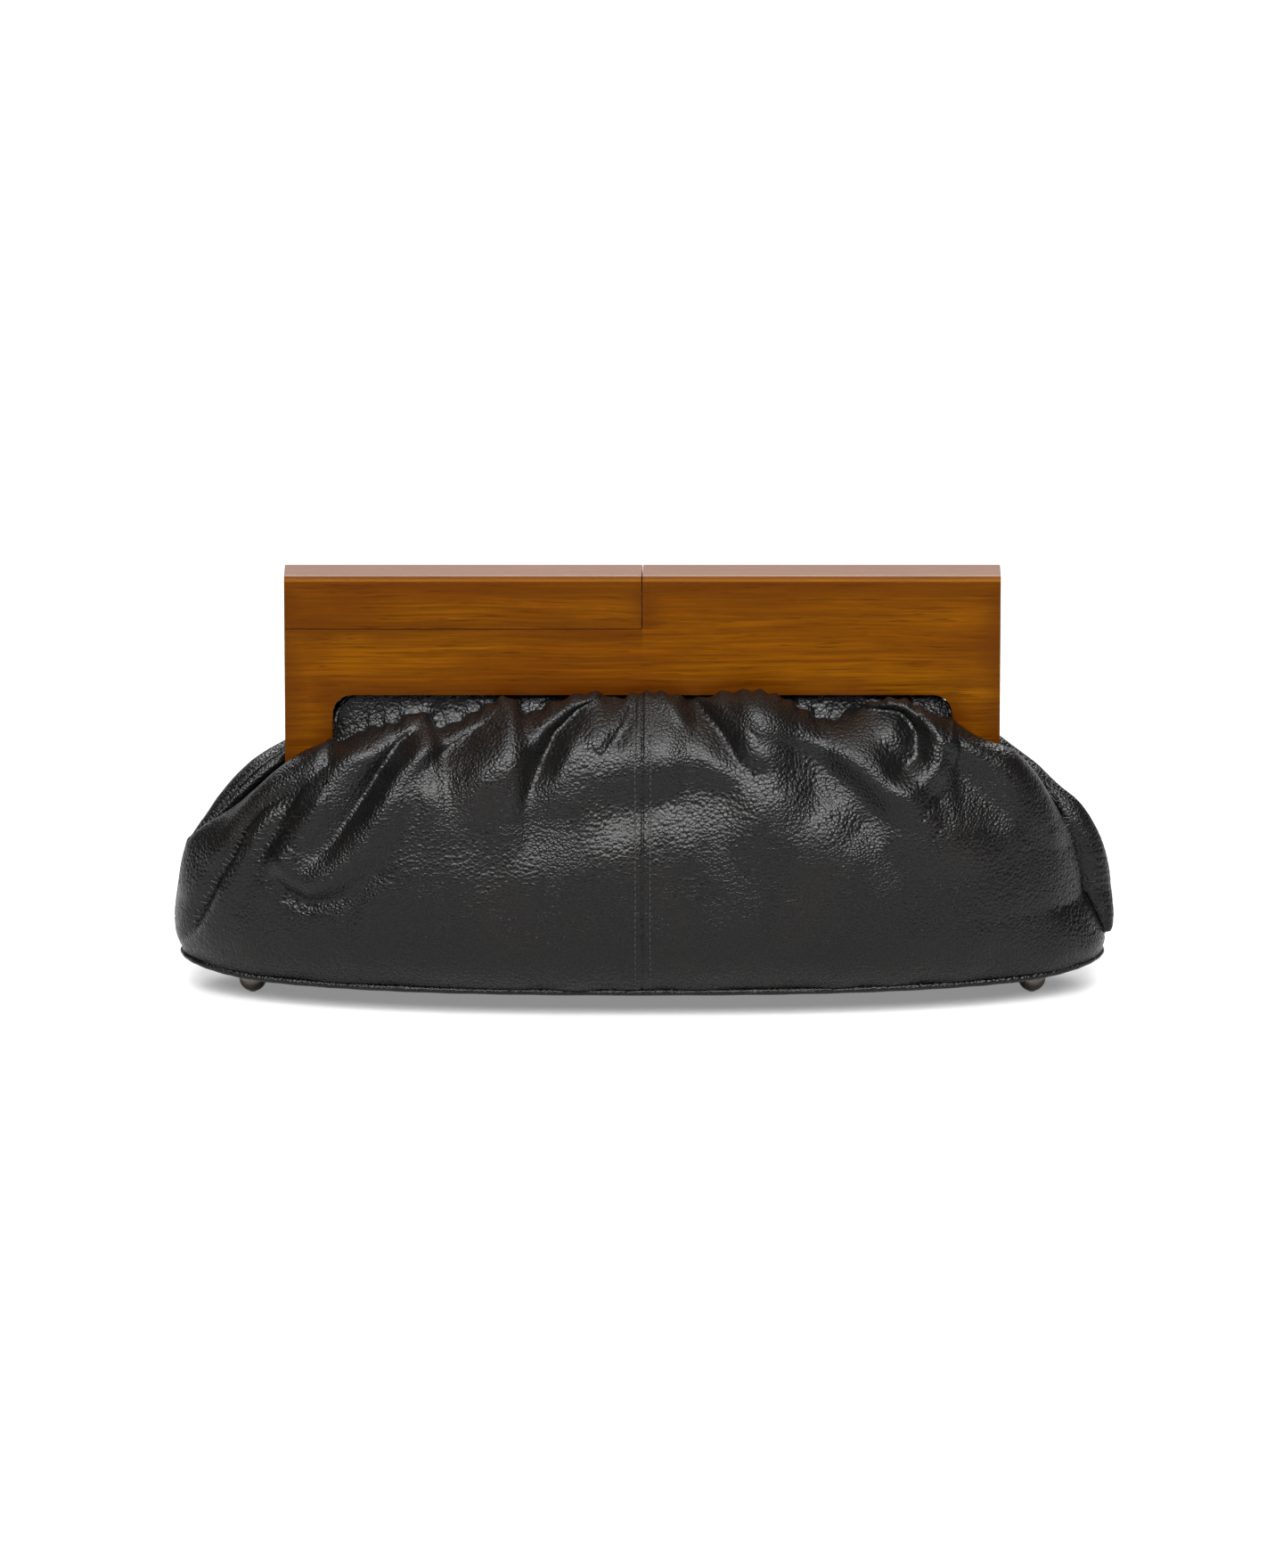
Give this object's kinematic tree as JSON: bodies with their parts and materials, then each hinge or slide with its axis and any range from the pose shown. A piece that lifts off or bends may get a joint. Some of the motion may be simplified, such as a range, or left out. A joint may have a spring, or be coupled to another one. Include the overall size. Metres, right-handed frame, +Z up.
{
  "type": "wooden frame clutch purse",
  "caption": "Gathered leather clutch purse that hangs from two interlocking wooden frame boards, hinged under their legs, on a stiff lens-shaped base with ball feet.",
  "frame": {"origin": "on the floor under the middle of the purse", "axes": "+X along the width, to the right of a viewer who faces the front; +Y to the rear; +Z up"},
  "size_m": [0.382, 0.1118, 0.1767],
  "materials": {
    "wood": "satin lacquer",
    "leather": "pebbled, semi-gloss",
    "lining": "matt twill",
    "hardware": "brushed nickel plate",
    "board": "fibreboard, matt"
  },
  "bodies": {
    "bag": {"front_left_panel": "leather", "front_right_panel": "leather", "rear_left_panel": "leather", "rear_right_panel": "leather", "front_lining": "lining", "rear_lining": "lining", "base_lining": "lining", "slip_pocket": "lining", "base_leather": "leather", "base_board": "board", "base_welt": "leather", "front_left_foot": "hardware", "front_right_foot": "hardware", "rear_left_foot": "hardware", "rear_right_foot": "hardware", "foot_washers": "hardware"},
    "front_half": {"front_frame": "wood", "front_batten": "wood", "front_batten_screws": "hardware", "front_magnets": "hardware", "front_left_leaf": "hardware", "front_right_leaf": "hardware", "left_hinge_pin": "hardware", "right_hinge_pin": "hardware", "front_hinge_screws": "hardware", "front_gathers": "leather"},
    "rear_half": {"rear_frame": "wood", "rear_batten": "wood", "rear_batten_screws": "hardware", "rear_magnets": "hardware", "rear_left_leaf": "hardware", "rear_right_leaf": "hardware", "rear_hinge_screws": "hardware", "rear_gathers": "leather"}
  },
  "joints": [
    {"name": "front_half_opens", "type": "hinge", "parent": "bag", "child": "front_half", "pos_m": [0, 0, 0.072], "axis": [1, 0, 0], "range_deg": [0, 35], "deforming": ["front_gathers"]},
    {"name": "rear_half_opens", "type": "hinge", "parent": "bag", "child": "rear_half", "pos_m": [0, 0, 0.072], "axis": [-1, 0, 0], "range_deg": [0, 35], "deforming": ["rear_gathers"]}
  ]
}
